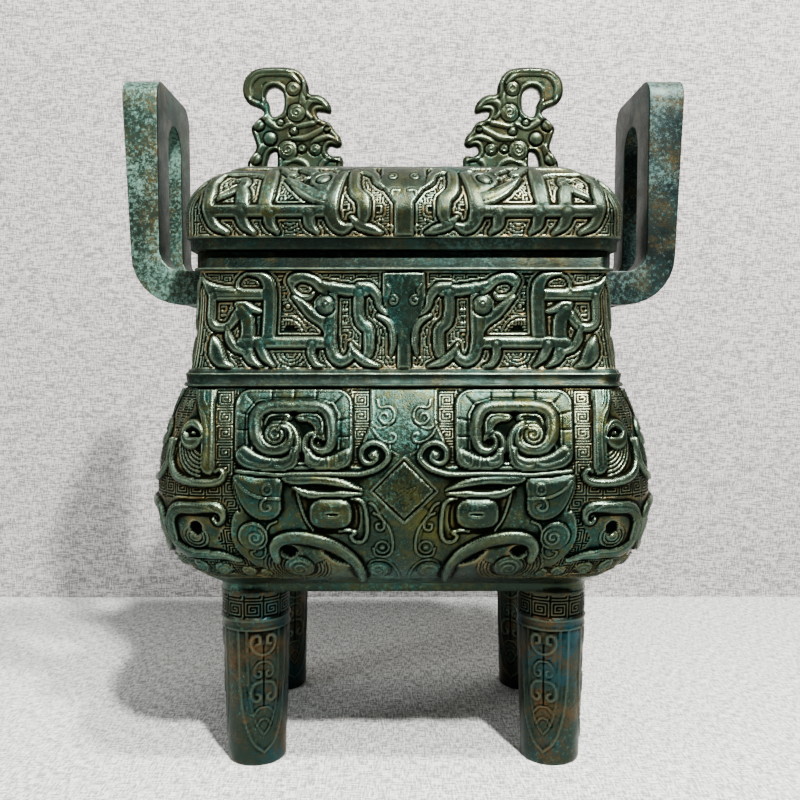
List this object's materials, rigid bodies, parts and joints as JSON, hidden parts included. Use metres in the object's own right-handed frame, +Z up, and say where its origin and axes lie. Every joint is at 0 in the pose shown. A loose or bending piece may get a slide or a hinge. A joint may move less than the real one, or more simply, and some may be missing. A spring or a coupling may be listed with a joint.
{
  "type": "square bronze ding",
  "caption": "Lidded square ding: bulging rectangular bronze cauldron on column legs, upright side ears, loose domed lid with openwork crests, cast mask and dragon relief.",
  "frame": {"origin": "middle of the footprint, at the undersides of the feet", "axes": "+Z up, X along the long sides from ear to ear, -Y out of the front long side"},
  "size_m": [0.2222, 0.1478, 0.2798],
  "materials": {
    "vessel_bronze": "patinated cast bronze, satin",
    "lid_bronze": "patinated cast bronze, satin"
  },
  "bodies": {
    "root": {"vessel": "vessel_bronze", "lid": "lid_bronze"}
  },
  "joints": []
}
